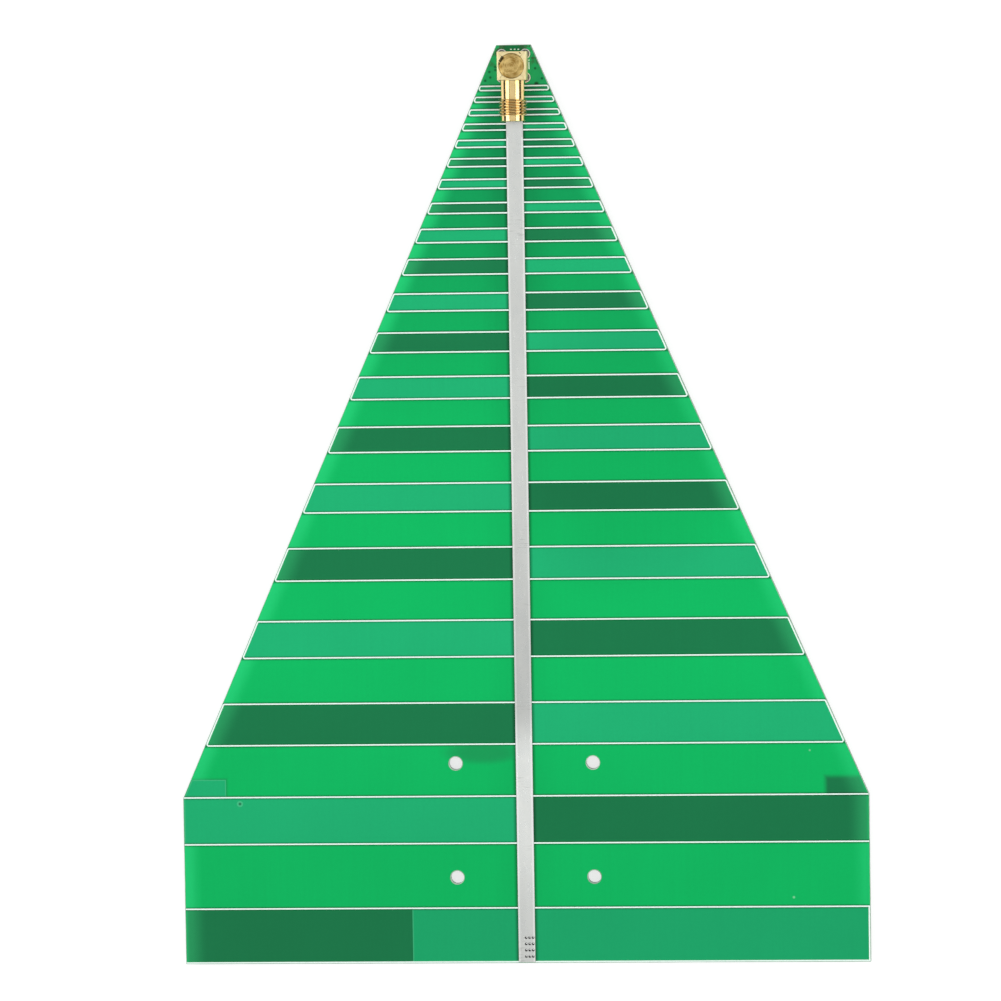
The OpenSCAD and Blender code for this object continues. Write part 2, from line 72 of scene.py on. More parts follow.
# %% Figures of the board, in millimetres from its rear edge
board_low, board_high = (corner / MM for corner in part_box("laminate"))
REAR_Y = board_low.y
BOARD_LEN = board_high.y - board_low.y
HALF_W = board_high.x
NEARLY = 0.01
board_points = [(v.co.x / MM, v.co.y / MM) for v in nodes["laminate"].data.vertices]
tip_half = max(x for x, y in board_points if y > board_high.y - NEARLY)
shoulder_y = max(y for x, y in board_points if x > HALF_W - NEARLY) - REAR_Y
FLARE = math.atan((HALF_W - tip_half) / (BOARD_LEN - shoulder_y))
SIDE_APEX_Y = BOARD_LEN + tip_half / math.tan(FLARE)
# The ratio between neighbours, the start of the progression, and the apex that it runs to
TAU, FIRST_REACH, APEX_Y = 0.8808, 201.14, BOARD_LEN + 8.685
# The width as a share of the distance, up to dipole REAR_COUNT and then up to LAST
REAR_RATIO, TIP_RATIO, REAR_COUNT, LAST = 0.0583, 0.0505, 11, 19
# The rear dipole's far edge, its copper past the middle, and the stubs in front of dipole 1
REAR_TOP, REAR_OVERLAP, STUB_W, STUB_H = 12.15, 25.0, 9.5, 3.95
# The bare rim outside the copper, and the gap between the last dipole and the tip's plane
COPPER_INSET, PLANE_GAP = 0.2, 0.35
# The vias at the tail: middle and pitch across the board, then middle and pitch along it
VIA_X, VIA_PITCH_X, VIA_Y, VIA_PITCH_Y = 0.6, 0.76, 3.52, 1.38
# The jack's legs, and its barrel's plain neck and coupling thread
LEG_W, LEG_PITCH, NECK_LEN, THREAD_LEN = 0.95, 5.08, 4.1, 3.45


def reach(n):
    return FIRST_REACH * TAU ** n


def bar_edges(n):
    half = reach(n) * (REAR_RATIO if n <= REAR_COUNT else TIP_RATIO) / 2
    return APEX_Y - reach(n) - half, APEX_Y - reach(n) + half


PLANE_Y = bar_edges(LAST)[1] + PLANE_GAP
print("board", round(BOARD_LEN, 2), "x", round(2 * HALF_W, 2),
      "flare", round(math.degrees(FLARE), 2),
      "last dipole ends at", round(bar_edges(LAST)[1], 2))

# %% [markdown]
# ## A short way to write shader maths
# A material is a graph of nodes. Wrapping a socket in a small class lets an ordinary expression,
# such as `1 - mask * 0.5`, add the Math nodes that it stands for, so long recipes stay readable.

# %% Sockets with arithmetic


class Wire:
    """An output socket: arithmetic on it adds Math nodes to its material."""

    def __init__(self, finish, socket):
        self.finish, self.socket = finish, socket

    def math(self, operation, *others):
        values = dict(enumerate((self,) + others))
        return self.finish.node("ShaderNodeMath", {"operation": operation}, values)

    def back(self, operation, other):
        return self.finish.node("ShaderNodeMath", {"operation": operation}, {0: other, 1: self})

    def __add__(self, other): return self.math("ADD", other)
    def __radd__(self, other): return self.back("ADD", other)
    def __sub__(self, other): return self.math("SUBTRACT", other)
    def __rsub__(self, other): return self.back("SUBTRACT", other)
    def __mul__(self, other): return self.math("MULTIPLY", other)
    def __rmul__(self, other): return self.back("MULTIPLY", other)
    def __truediv__(self, other): return self.math("DIVIDE", other)
    def __pow__(self, other): return self.math("POWER", other)
    def __rpow__(self, other): return self.back("POWER", other)
    def __abs__(self): return self.math("ABSOLUTE")
    def __gt__(self, other): return self.math("GREATER_THAN", other)
    def __lt__(self, other): return self.math("LESS_THAN", other)

    def least(self, other): return self.math("MINIMUM", other)
    def most(self, other): return self.math("MAXIMUM", other)

    def ramp(self, start, end):
        """0 before start, 1 after end and smooth between them."""
        return self.finish.node(
            "ShaderNodeMapRange", {"interpolation_type": "SMOOTHSTEP"}, {0: self, 1: start, 2: end})


class Finish:
    """A material on a Principled shader, with the constants set on its own sockets."""

    def __init__(self, name, **constants):
        self.material = bpy.data.materials.new(name)
        self.material.use_nodes = True
        self.tree = self.material.node_tree
        self.shader = self.tree.nodes["Principled BSDF"]
        for socket, value in constants.items():
            self.shader.inputs[socket.replace("_", " ")].default_value = value

    def node(self, kind, settings=None, values=None, output=0):
        made = self.tree.nodes.new(kind)
        for key, value in (settings or {}).items():
            setattr(made, key, value)
        for key, value in (values or {}).items():
            if isinstance(value, Wire):
                self.tree.links.new(value.socket, made.inputs[key])
            else:
                made.inputs[key].default_value = value
        return Wire(self, made.outputs[output])

    def feed(self, socket, wire):
        self.tree.links.new(wire.socket, self.shader.inputs[socket])

    def place(self):
        """Object coordinates in millimetres: x, y and z."""
        here = self.node("ShaderNodeTexCoord", output=3)
        scaled = self.node("ShaderNodeVectorMath", {"operation": "SCALE"}, {0: here, 3: 1 / MM})
        parts = self.node("ShaderNodeSeparateXYZ", values={0: scaled})
        return scaled, [Wire(self, socket) for socket in parts.socket.node.outputs]

    def at(self, x, y, z=0.0):
        """A point made of wires or numbers."""
        return self.node("ShaderNodeCombineXYZ", values={0: x, 1: y, 2: z})

    def noise(self, point, scale, detail=2.0, roughness=0.5):
        return self.node("ShaderNodeTexNoise", values={
            "Vector": point, "Scale": scale, "Detail": detail, "Roughness": roughness})

    def mix(self, share, first, second):
        return self.node("ShaderNodeMix", {"data_type": "RGBA"}, {0: share, 6: first, 7: second}, 2)

    def tint(self, colour, level):
        """The colour made lighter or darker by a wire."""
        return self.node("ShaderNodeVectorMath", {"operation": "SCALE"}, {0: colour, 3: level})

    def bump(self, height, depth, strength=1.0):
        """A height from 0 to 1 that stands depth millimetres proud."""
        self.feed("Normal", self.node("ShaderNodeBump", values={
            "Height": height, "Distance": depth * MM, "Strength": strength}))


def paint(red, green, blue):
    """A screen colour from 0 to 255 as the linear colour that a shader reads."""
    def linear(v):
        v /= 255
        return v / 12.92 if v <= 0.04045 else ((v + 0.055) / 1.055) ** 2.4
    return (linear(red), linear(green), linear(blue), 1.0)


def coat(node, finish):
    """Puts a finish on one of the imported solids."""
    solid = nodes[node]
    for slot in solid.material_slots:
        slot.material = finish.material
    if not solid.material_slots:
        solid.data.materials.append(finish.material)


print("finish helpers ready")

# %% [markdown]
# ## The camera
# The board is seen from almost straight over it, with the lens 1.4 m up and a little to one
# side, so its edges hardly show and the jack leans very slightly.

# %% Camera
TILT = (0.0682511, -0.0820039, 0.0099266)
turn = (Matrix.Rotation(-TILT[0], 4, "X") @ Matrix.Rotation(-TILT[1], 4, "Y")
        @ Matrix.Rotation(-TILT[2], 4, "Z"))
lens = bpy.data.cameras.new("camera")
lens.sensor_fit = "HORIZONTAL"
lens.angle = math.radians(9.03411)
lens.clip_start, lens.clip_end = 0.05, 20
camera = bpy.data.objects.new("camera", lens)
camera.matrix_world = Matrix.Translation((0.1084700, 0.1634300, 1.3704082)) @ turn
bpy.context.scene.collection.objects.link(camera)
bpy.context.scene.camera = camera
bpy.context.scene.view_settings.view_transform = "Standard"
print("camera at", [round(v, 3) for v in camera.location])

# %% [markdown]
# ## The solder mask
# The green varnish is clear enough to show what lies under it. Copper on the same face is pale and
# sharp, copper on the far face is a dark blurred shape seen through 1.6 mm of glass laminate, and
# bare laminate glows because light comes through it. One recipe works out where the copper lies
# from the dipole figures. A painted picture would be coarse at the tip's fine dipoles.

# %% Solder mask
NEAR, NEAR_REAR = paint(27, 178, 114), paint(24, 168, 106)
FAR, FAR_LIT_RIM = paint(22, 120, 72), paint(42, 160, 98)
GAP, GAP_TIP, GLOW = paint(3, 185, 96), paint(8, 153, 86), paint(32, 206, 118)
PLANE, PALE_EDGE = paint(34, 169, 98), paint(120, 214, 170)

# Tented vias at the tip: side, distance from the slanted edge, distance from the feed tip
TIP_VIAS = ((-1, 1.8, 4.75), (-1, 2.1, 5.4), (-1, 1.0, 5.8), (-1, 1.7, 7.0), (-1, 0.9, 7.7),
            (1, 1.3, 5.15), (1, 0.8, 7.35))


def copper_map(finish, face):
    """Wires for the copper seen through one face's mask: 1 for the front, -1 for the back."""
    _, (x, y, _) = finish.place()
    y = y - REAR_Y
    away = APEX_Y - y
    count = ((away.most(1.0) / FIRST_REACH).math("LOGARITHM", TAU) + 0.5).math("FLOOR")
    count = count.most(1.0).least(float(LAST))
    here = FIRST_REACH * (TAU ** count)
    ratio = REAR_RATIO - (count > REAR_COUNT + 0.5) * (REAR_RATIO - TIP_RATIO)
    bar = here * ratio * 0.5 - abs(away - here)
    low, high = bar_edges(1)
    stub = (y - low).least(high + STUB_H - y).least(abs(x) - (HALF_W - STUB_W))
    rim = (HALF_W - abs(x)).least(((SIDE_APEX_Y - y) * math.tan(FLARE) - abs(x)) * math.cos(FLARE))
    rear = y < (REAR_TOP + low) / 2
    inside = (bar.most(stub) * (1 - rear) + (REAR_TOP - y) * rear).least(rim - COPPER_INSET)
    edge = abs(bar * (1 - rear) + (REAR_TOP - y) * rear)
    odd = (count * 0.5).math("FRACT") * 2
    beside = x * face * (1 - odd * 2) * (1 - rear) + (x * face + REAR_OVERLAP) * rear
    plane = (y - PLANE_Y).least(rim - COPPER_INSET)
    return {"x": x, "y": y, "rim": rim, "rear": rear, "inside": inside, "edge": edge,
            "plane": plane, "near": inside.least(beside)}


def solder_mask(name, face):
    green = Finish(name, Roughness=0.3, IOR=1.5, Specular_IOR_Level=0.1)
    point, (x_mm, y_mm, _) = green.place()
    seen = copper_map(green, face)
    toward_tip = seen["y"].ramp(100, 186)
    outer = seen["rim"].ramp(5.0, 0.3)
    # The laminate glows most along its rim, where light enters it, and least beside the feed line
    glow = seen["rim"].ramp(4.2, 0.5) * (0.9 - 0.3 * (seen["x"] * face).ramp(0, 10))
    beside_line = abs(seen["x"]).ramp(9.0, 1.8)
    bare = green.mix(toward_tip, GAP, GAP_TIP)
    bare = green.mix(glow, bare, GLOW)
    bare = green.tint(bare, 1 - beside_line * (0.06 + 0.2 * toward_tip))
    # Painted light: the far copper turns lighter towards the rim (outer), where light enters the
    # laminate
    far = green.mix(outer * 0.85, FAR, FAR_LIT_RIM)
    far = green.tint(far, 1 + 0.13 * seen["y"].ramp(120, 165) - beside_line * toward_tip * 0.12)
    colour = green.mix(seen["inside"].ramp(-0.75, 0.75), bare, far)
    top = green.mix(seen["rear"], NEAR, NEAR_REAR)
    # Painted highlight: a pale line along each edge of the copper on this face
    line = seen["near"].ramp(0.0, 0.05) * seen["near"].ramp(0.3, 0.14)
    top = green.mix(line * 0.22, top, PALE_EDGE)
    colour = green.mix(seen["near"].ramp(-0.04, 0.04), colour, top)
    colour = green.mix(seen["plane"].ramp(-0.04, 0.04), colour, PLANE)
    # Varnish lies thick against every copper edge and against the bare line, and those edges cast a
    # shadow in the laminate: both are painted as a dark band
    step = seen["edge"].ramp(0.6, 0.2) * 0.5
    line_edge_shadow = abs(seen["x"]).ramp(2.7, 1.95) * 0.55
    colour = green.tint(colour, (1 - step * (1 - seen["plane"].ramp(0, 0.3))) * (1 - line_edge_shadow))
    # A painted soft shadow of something in the laminate, left of the line
    seen_x = seen["x"] * face
    laminate_shadow = (((seen_x + 9.0) / 9.0) ** 2.0 + ((seen["y"] - 46.2) / 2.6) ** 2.0).ramp(1.3, 0.1)
    colour = green.mix(laminate_shadow * 0.5, colour, paint(30, 120, 76))
    dim = (((seen_x - 22.0) / 26.0) ** 2.0 + ((seen["y"] - 112.0) / 34.0) ** 2.0).ramp(1.2, 0.2)
    colour = green.tint(colour, 1 - dim * 0.1)
    # Slow clouds, the glass weave under the varnish and a little dust
    rear_shade = 1 - 0.1 * seen["y"].ramp(75, 15)
    clouds = green.noise(point, 0.045, 3)
    weave = green.noise(green.at(x_mm * 1.6, y_mm * 0.04), 1.0, 1)
    grain = green.noise(point, 1.7, 2)
    level = (0.95 + clouds * 0.1 + (weave - 0.5) * 0.05 + (grain - 0.5) * 0.07) * rear_shade
    # Brown flux stains at the corners of the tip
    flux = (green.noise(point, 0.9, 3).ramp(0.42, 0.6) * seen["y"].ramp(193.5, 198)
            * seen["rim"].ramp(3.4, 0.8))
    colour = green.mix(flux * 0.75, green.tint(colour, level), paint(66, 62, 44))
    # Small tented vias at the tip show as dark dots
    dots = None
    for side, inward, below in TIP_VIAS:
        via_y = BOARD_LEN - below
        via_x = side * ((SIDE_APEX_Y - via_y) * math.tan(FLARE) - inward)
        away = ((seen["x"] - via_x) ** 2.0 + (seen["y"] - via_y) ** 2.0).math("SQRT")
        one = away.ramp(0.42, 0.12)
        dots = one if dots is None else dots.most(one)
    # One more sits in the second dipole, in a faint ring
    probe_x, probe_y = 12.5 - HALF_W, bar_edges(1)[1] - 1.4
    probe = ((seen["x"] - probe_x) ** 2.0 + (seen["y"] - probe_y) ** 2.0).math("SQRT")
    dots = dots.most(probe.ramp(0.42, 0.15))
    colour = green.mix(probe.ramp(0.75, 0.6) * 0.25, colour, PALE_EDGE)
    blot = ((seen["x"] - 4.9) ** 2.0 + ((seen["y"] - 191.55) * 1.3) ** 2.0).math("SQRT")
    blot = blot.ramp(0.75, 0.2)
    colour = green.mix(dots * 0.7, colour, paint(8, 52, 30))
    colour = green.mix(blot * 0.85, colour, paint(26, 34, 20))
    speck = green.node("ShaderNodeTexVoronoi", {"feature": "F1"}, {"Vector": point, "Scale": 0.055})
    dust = speck.ramp(0.022, 0.012)
    green.feed("Base Color", green.mix(dust * 0.35, colour, paint(190, 232, 208)))
    green.feed("Roughness", 0.26 + clouds * 0.12 + dust * 0.3)
    raised = seen["near"].ramp(-0.12, 0.12).most(seen["plane"].ramp(-0.12, 0.12))
    green.bump(raised * 0.8 + grain * 0.1 + weave * 0.1, 0.035, 0.8)
    return green


coat("front_solder_mask", solder_mask("front green mask", 1))
coat("back_solder_mask", solder_mask("back green mask", -1))
print("mask painted for", LAST + 1, "dipoles on each face")

# %% [markdown]
# ## The tin on the feed line
# The feed line and the rings round the legs aren't masked: hot tin was wiped over them, which
# leaves a bright grey skin with slow waves along it, fine scratches and a dull film in places.

# %% Tin
tin = Finish("wiped tin", Metallic=1.0)
point, (x_mm, y_mm, _) = tin.place()
waves = tin.noise(tin.at(x_mm * 0.25, y_mm * 0.05), 1.0, 2)
film = tin.noise(point, 0.5, 4, 0.6)
scratch = tin.noise(tin.at(x_mm * 9, y_mm * 0.25), 1.0, 2).ramp(0.62, 0.75)
along = y_mm - REAR_Y
corner = (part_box("jack_body")[0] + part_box("jack_body")[1]) / 2 / MM
# Painted shade darkens the inner part of each ring round a leg, where the hole round the leg lies
# in shade
leg_x, leg_y = abs(x_mm) - LEG_PITCH / 2, abs(y_mm - corner.y) - LEG_PITCH / 2
leg_ring_shade = (leg_x * leg_x + leg_y * leg_y).math("SQRT").ramp(0.98, 0.86)
level = (1.08 + 0.25 * along.ramp(8, 38) - 0.42 * along.ramp(44, 57)
         + 0.2 * along.ramp(58, 110))
# Painted highlight: the tin is lighter along both edges of the strip
edge = abs(x_mm).ramp(1.3, 1.55) * (along < 180)
# Each via at the tail has a dark rim
across = abs(x_mm - VIA_X).least(abs(abs(x_mm - VIA_X) - VIA_PITCH_X))
row = abs(abs(along - VIA_Y) - VIA_PITCH_Y / 2).least(abs(abs(along - VIA_Y) - VIA_PITCH_Y * 1.5))
rims = (across * across + row * row).math("SQRT").ramp(0.36, 0.26)
scrape = tin.noise(tin.at(x_mm * 0.4, y_mm * 3.4), 1.0, 2).ramp(0.56, 0.66) * tin.noise(
    tin.at(1.0, y_mm * 0.09), 1.0, 1).ramp(0.54, 0.62)
# Waves, film, scratches and scrapes are the tin's own; the edge term adds a painted highlight
worn = 0.74 + waves * 0.2 + (film - 0.5) * 0.12 - scratch * 0.08 - scrape * 0.14 + edge * 0.2
shade = worn * level * (1 - leg_ring_shade.most(rims * 0.9) * 0.85)
grey = tin.mix(film, paint(234, 238, 236), paint(228, 229, 224))
tin.feed("Base Color", tin.tint(grey, shade))
tin.feed("Roughness", 0.2 + film * 0.16 + scratch * 0.15)
tin.bump(waves * 0.5 + film * 0.3 - scratch * 0.3, 0.03, 0.6)
for name in ("front_tinning", "back_tinning"):
    coat(name, tin)

# %% [markdown]
# ## Laminate, copper and legend
# Glass laminate is cut through its layers at the edge, so its pale walls show fine bands. The
# copper layers hardly show: only their cut walls do, at the rim and in the holes. The legend is
# white ink that was screened on, a little thin and uneven.

# %% Laminate, copper and ink
laminate = Finish("glass laminate", Roughness=0.55)
point, (x_mm, y_mm, z_mm) = laminate.place()
bands = laminate.noise(laminate.at(x_mm * 0.2, y_mm * 0.2, z_mm * 9), 1.0, 2)
fibres = laminate.noise(laminate.at(x_mm * 3, y_mm * 3, z_mm * 14), 1.0, 3)
colour = laminate.mix(bands.ramp(0.35, 0.65), paint(150, 178, 158), paint(184, 204, 188))
colour = laminate.mix(fibres.ramp(0.55, 0.7) * 0.5, colour, paint(122, 150, 128))
laminate.feed("Base Color", colour)
laminate.bump(bands * 0.5 + fibres * 0.5, 0.04, 0.7)
coat("laminate", laminate)

copper = Finish("etched copper", Metallic=1.0)
point, _ = copper.place()
dull = copper.noise(point, 0.8, 4)
copper.feed("Base Color", copper.mix(dull, paint(92, 96, 66), paint(66, 76, 50)))
copper.feed("Roughness", 0.3 + dull * 0.3)
for name in ("front_copper", "back_copper", "tented_vias"):
    coat(name, copper)

# The walls of the holes and vias are painted nearly black: painted shade inside the holes, with a
# random mottle
hole_wall = Finish("shadowed hole wall", Metallic=0.4, Roughness=0.7)
point, _ = hole_wall.place()
dark_mottle = hole_wall.noise(point, 1.5, 3)
hole_wall.feed("Base Color", hole_wall.mix(dark_mottle, paint(58, 52, 44), paint(30, 28, 24)))
hole_wall.bump(dark_mottle, 0.02, 0.6)
for name in ("tail_vias", "leg_hole_platings", "pin_hole_plating"):
    coat(name, hole_wall)

ink = Finish("white legend ink", Roughness=0.5, Specular_IOR_Level=0.3)
point, _ = ink.place()
thin = ink.noise(point, 2.4, 3)
colour = ink.mix(thin.ramp(0.45, 0.72) * 0.25, paint(240, 255, 248), paint(170, 228, 204))
ink.feed("Base Color", colour)
ink.bump(thin, 0.01, 0.5)
coat("front_legend", ink)
print("laminate, copper and ink done")

# %% [markdown]
# ## Gold, cap and insulator
# The jack is turned and milled brass under a thin gold plate. Its cap is a thin disc with a swirl
# of fine turning marks, and its insulator is a white, slightly waxy plastic.

# %% Plated metal and plastic
JACK_LOW, JACK_HIGH = (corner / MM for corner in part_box("jack_body"))
JACK_Y = (JACK_LOW.y + JACK_HIGH.y) / 2
BLOCK_W = JACK_HIGH.x - JACK_LOW.x
TOP_Z = JACK_HIGH.z
SEAT_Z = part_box("body_insulator")[0].z / MM
AXIS_Z = sum(corner.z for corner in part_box("jack_barrel")) / 2 / MM
THREAD_HIGH = JACK_LOW.y - NECK_LEN
THREAD_LOW = THREAD_HIGH - THREAD_LEN

# Punch marks round the cap: bearing in degrees, distance, length and width
PUNCHES = ((145, 2.57, 1.3, 0.7), (169, 2.7, 0.4, 0.35), (55, 3.36, 0.5, 0.25))


def punched(x, across):
    """1 in the punch marks and 0 outside."""
    inside = None
    for bearing, distance, length, width in PUNCHES:
        c, s = math.cos(math.radians(bearing)), math.sin(math.radians(bearing))
        one = (width / 2 - abs(x * c + across * s - distance)).least(
            length / 2 - abs(across * c - x * s))
        inside = one if inside is None else inside.most(one)
    return inside.ramp(-0.08, 0.1)


def gold_plate(name, base, worn, rough):
    gold = Finish(name, Metallic=1.0)
    point, (x_mm, y_mm, z_mm) = gold.place()
    # The punch marks are painted dark: painted shade in their hollows
    pits = punched(x_mm, y_mm - JACK_Y) * z_mm.ramp(TOP_Z - 0.3, TOP_Z - 0.1)
    tarnish = gold.noise(point, 0.45, 4, 0.6)
    marks = gold.noise(gold.at(x_mm * 7, y_mm * 0.9, z_mm * 2), 1.0, 2)
    # The grooves of the coupling thread are painted darker than its crests
    height = z_mm - AXIS_Z
    threaded = (y_mm - THREAD_LOW).least(THREAD_HIGH - y_mm).ramp(0.0, 0.15)
    groove = (x_mm * x_mm + height * height).math("SQRT").ramp(3.0, 2.84) * threaded
    gold.feed("Base Color", gold.tint(gold.mix(tarnish.ramp(0.4, 0.7) * 0.6, base, worn),
                                      (1 - pits * 0.85) * (1 - groove * 0.4)))
    gold.feed("Roughness", rough + tarnish * 0.12 + (marks - 0.5) * 0.08)
    gold.bump(marks * 0.05 + tarnish * 0.05 - pits, 0.12, 0.6)
    return gold


gold = gold_plate("gold plate", paint(240, 212, 150), paint(226, 190, 116), 0.08)
milled_gold = gold_plate("milled gold", paint(252, 236, 184), paint(240, 214, 150), 0.4)
contact_gold = gold_plate("contact gold", paint(244, 208, 130), paint(224, 184, 104), 0.12)
coat("centre_contact", contact_gold)
coat("contact_pin", contact_gold)

insulator = Finish("white insulator", Roughness=0.38, Subsurface_Weight=0.1,
                   Subsurface_Scale=0.001)
point, _ = insulator.place()
cloud = insulator.noise(point, 1.4, 3)
insulator.feed("Base Color", insulator.mix(cloud, paint(238, 238, 232), paint(224, 222, 212)))
insulator.bump(cloud, 0.01, 0.5)
for name in ("barrel_insulator", "body_insulator"):
    coat(name, insulator)

bronze = Finish("turned cap", Metallic=1.0)
point, (x_mm, y_mm, z_mm) = bronze.place()
across = y_mm - JACK_Y
away = (x_mm * x_mm + across * across).math("SQRT")
swirl = bronze.noise(bronze.at(away * 5, (x_mm * 0.5 - across * 0.8), 0.0), 1.0, 2)
dirt = bronze.noise(point, 0.9, 3)
pits = punched(x_mm, across)
colour = bronze.mix((swirl * 0.4 + dirt * 0.6).ramp(0.35, 0.65),
                    paint(224, 196, 128), paint(160, 126, 64))
# The punch marks are painted dark: painted shade in their hollows
bronze.feed("Base Color", bronze.tint(colour, 1 - pits * 0.88))
bronze.feed("Roughness", 0.36 + swirl * 0.15)
bronze.bump(swirl * 0.15 - pits, 0.12, 0.6)

solder = Finish("solder", Metallic=1.0)
point, _ = solder.place()
skin = solder.noise(point, 1.1, 4)
solder.feed("Base Color", solder.mix(skin, paint(214, 214, 210), paint(182, 181, 176)))
solder.feed("Roughness", 0.18 + skin * 0.22)
solder.bump(skin, 0.03, 0.6)
print("jack axis at y", round(JACK_Y, 2), "block", round(BLOCK_W, 2),
      "axis height", round(AXIS_Z, 2))

# %% [markdown]
# ## Making new pieces
# A piece starts as a bmesh in millimetres, gets its finish, rides on the body and stands for the
# solid that it replaces. Its object stays at the origin, so its patterns stay put.

# %% From bmesh to piece


def piece(name, mesh, finish, slot, *stands_for):
    """Turns a bmesh in millimetres into a finished piece at the origin."""
    bmesh.ops.remove_doubles(mesh, verts=mesh.verts, dist=1e-5)
    bmesh.ops.recalc_face_normals(mesh, faces=mesh.faces)
    bmesh.ops.scale(mesh, vec=(MM, MM, MM), verts=mesh.verts)
    data = bpy.data.meshes.new(name)
    mesh.to_mesh(data)
    mesh.free()
    data.materials.append(finish.material)
    made = bpy.data.objects.new(name, data)
    bpy.context.scene.collection.objects.link(made)
    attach(made, "root")
    if stands_for:
        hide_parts(*stands_for)
    print(name, len(data.polygons), "faces")
    return made


def shade_smooth(made, angle=30):
    """Rounds the shading except over edges sharper than the angle."""
    data = made.data
    for face in data.polygons:
        face.use_smooth = True
    data.set_sharp_from_angle(angle=math.radians(angle))


def lathe(mesh, profile, steps=64):
    """Spins a profile of (radius, height) pairs round the Z line through the origin."""
    verts = [mesh.verts.new((r, 0, h)) for r, h in profile]
    edges = [mesh.edges.new((a, b)) for a, b in zip(verts, verts[1:])]
    bmesh.ops.spin(mesh, geom=verts + edges, cent=(0, 0, 0), axis=(0, 0, 1), dvec=(0, 0, 0),
                   angle=2 * math.pi, steps=steps, use_merge=True, use_duplicate=False)
    bmesh.ops.remove_doubles(mesh, verts=mesh.verts, dist=1e-6)


def bevel(mesh, edges, offset, segments=2):
    bmesh.ops.bevel(mesh, geom=edges, offset=offset, offset_type="OFFSET", segments=segments,
                    profile=0.5, affect="EDGES", clamp_overlap=True, material=-1)


print("piece helpers ready")

# %% [markdown]
# ## The jack's block
# The block is milled from square bar: its edges are just broken, its top has a round seat for the
# cap, and four square legs with tapered ends pass through the board. The seat's rim is an inset of
# the top face whose points slide onto a circle, so its wall is round.

# %% Jack block
CAP_R = (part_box("jack_cap")[1].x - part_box("jack_cap")[0].x) / MM / 2
CAP_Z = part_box("jack_cap")[1].z / MM
SEAT_DEPTH = TOP_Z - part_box("jack_cap")[0].z / MM
SEAT_R = CAP_R + 0.02
LEG_BOTTOM, LEG_TOP = JACK_LOW.z, SEAT_Z + 0.1

body = bmesh.new()
block = bmesh.ops.create_cube(body, size=1.0)["verts"]
bmesh.ops.scale(body, vec=(BLOCK_W, BLOCK_W, TOP_Z - SEAT_Z), verts=block)
bmesh.ops.translate(body, vec=(0, JACK_Y, (TOP_Z + SEAT_Z) / 2), verts=block)
top = max(body.faces, key=lambda f: f.calc_center_median().z)
bmesh.ops.subdivide_edges(body, edges=top.edges[:], cuts=15)
top = max(body.faces, key=lambda f: f.calc_center_median().z)
bmesh.ops.inset_region(body, faces=[top], thickness=0.5, use_even_offset=True)
top = min((f for f in body.faces if f.calc_center_median().z > TOP_Z - 0.001),
          key=lambda f: (f.calc_center_median() - Vector((0, JACK_Y, TOP_Z))).length)
for vert in top.verts:
    # The inner ring slides onto the circle along its own bearing
    bearing = math.atan2(vert.co.y - JACK_Y, vert.co.x)
    vert.co = Vector((SEAT_R * math.cos(bearing), JACK_Y + SEAT_R * math.sin(bearing), TOP_Z))
sunk = bmesh.ops.extrude_face_region(body, geom=[top])["geom"]
bmesh.ops.delete(body, geom=[top], context="FACES_ONLY")
seat_floor = [g for g in sunk if isinstance(g, bmesh.types.BMVert)]
bmesh.ops.translate(body, vec=(0, 0, -SEAT_DEPTH), verts=seat_floor)
sharp = [e for e in body.edges if len(e.link_faces) == 2 and e.calc_face_angle() > 1.0
         and max(max(abs(v.co.x), abs(v.co.y - JACK_Y)) for v in e.verts) > BLOCK_W / 2 - NEARLY]
bevel(body, sharp, 0.12, 3)
for sx in (-1, 1):
    for sy in (-1, 1):
        leg = bmesh.ops.create_cube(body, size=1.0)["verts"]
        bmesh.ops.scale(body, vec=(LEG_W, LEG_W, LEG_TOP - LEG_BOTTOM), verts=leg)
        bmesh.ops.translate(body, vec=(sx * LEG_PITCH / 2, JACK_Y + sy * LEG_PITCH / 2,
                                       (LEG_TOP + LEG_BOTTOM) / 2), verts=leg)
        foot = [e for v in leg for e in v.link_edges
                if all(q.co.z < LEG_BOTTOM + NEARLY for q in e.verts)]
        bevel(body, list(set(foot)), 0.15, 2)
block_piece = piece("jack_block", body, milled_gold, "gold_plate", "jack_body")
shade_smooth(block_piece)

# %% [markdown]
# ## The cap
# The cap closes the chamber in which the contact turns its corner. It is a stamped disc with a
# softly rounded rim, held by punch marks in the block beside it, so a spun profile makes it.

# %% Cap
cap = bmesh.new()
CAP_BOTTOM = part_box("jack_cap")[0].z / MM
lathe(cap, [
    (0, CAP_BOTTOM), (CAP_R - 0.02, CAP_BOTTOM), (CAP_R - 0.02, CAP_Z - 0.14),
    (CAP_R - 0.06, CAP_Z - 0.05), (CAP_R - 0.16, CAP_Z), (CAP_R * 0.5, CAP_Z), (0, CAP_Z)])
bmesh.ops.translate(cap, vec=(0, JACK_Y, 0), verts=cap.verts)
cap_piece = piece("jack_cap_disc", cap, bronze, "cap_plate", "jack_cap")
shade_smooth(cap_piece)

# %% [markdown]
# ## The barrel
# The barrel is one turned piece: a plain neck, the coupling thread and a short collar round the
# mouth. The tube is a spun profile. The thread is a real helix, made by spinning one ridge of its
# section with a step along the axis, and cut square at both ends by planes.

# %% Barrel and thread
FRONT_Y = JACK_LOW.y
BARREL_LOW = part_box("jack_barrel")[0] / MM
BARREL_LEN = FRONT_Y - BARREL_LOW.y
NECK_R, ROOT_R, CREST_R = 2.67, 2.76, 3.12
THREAD_END, MOUTH_R, MOUTH_DEPTH, BORE_R = NECK_LEN + THREAD_LEN, 2.3, 1.9, 2.05
PITCH = 0.7056

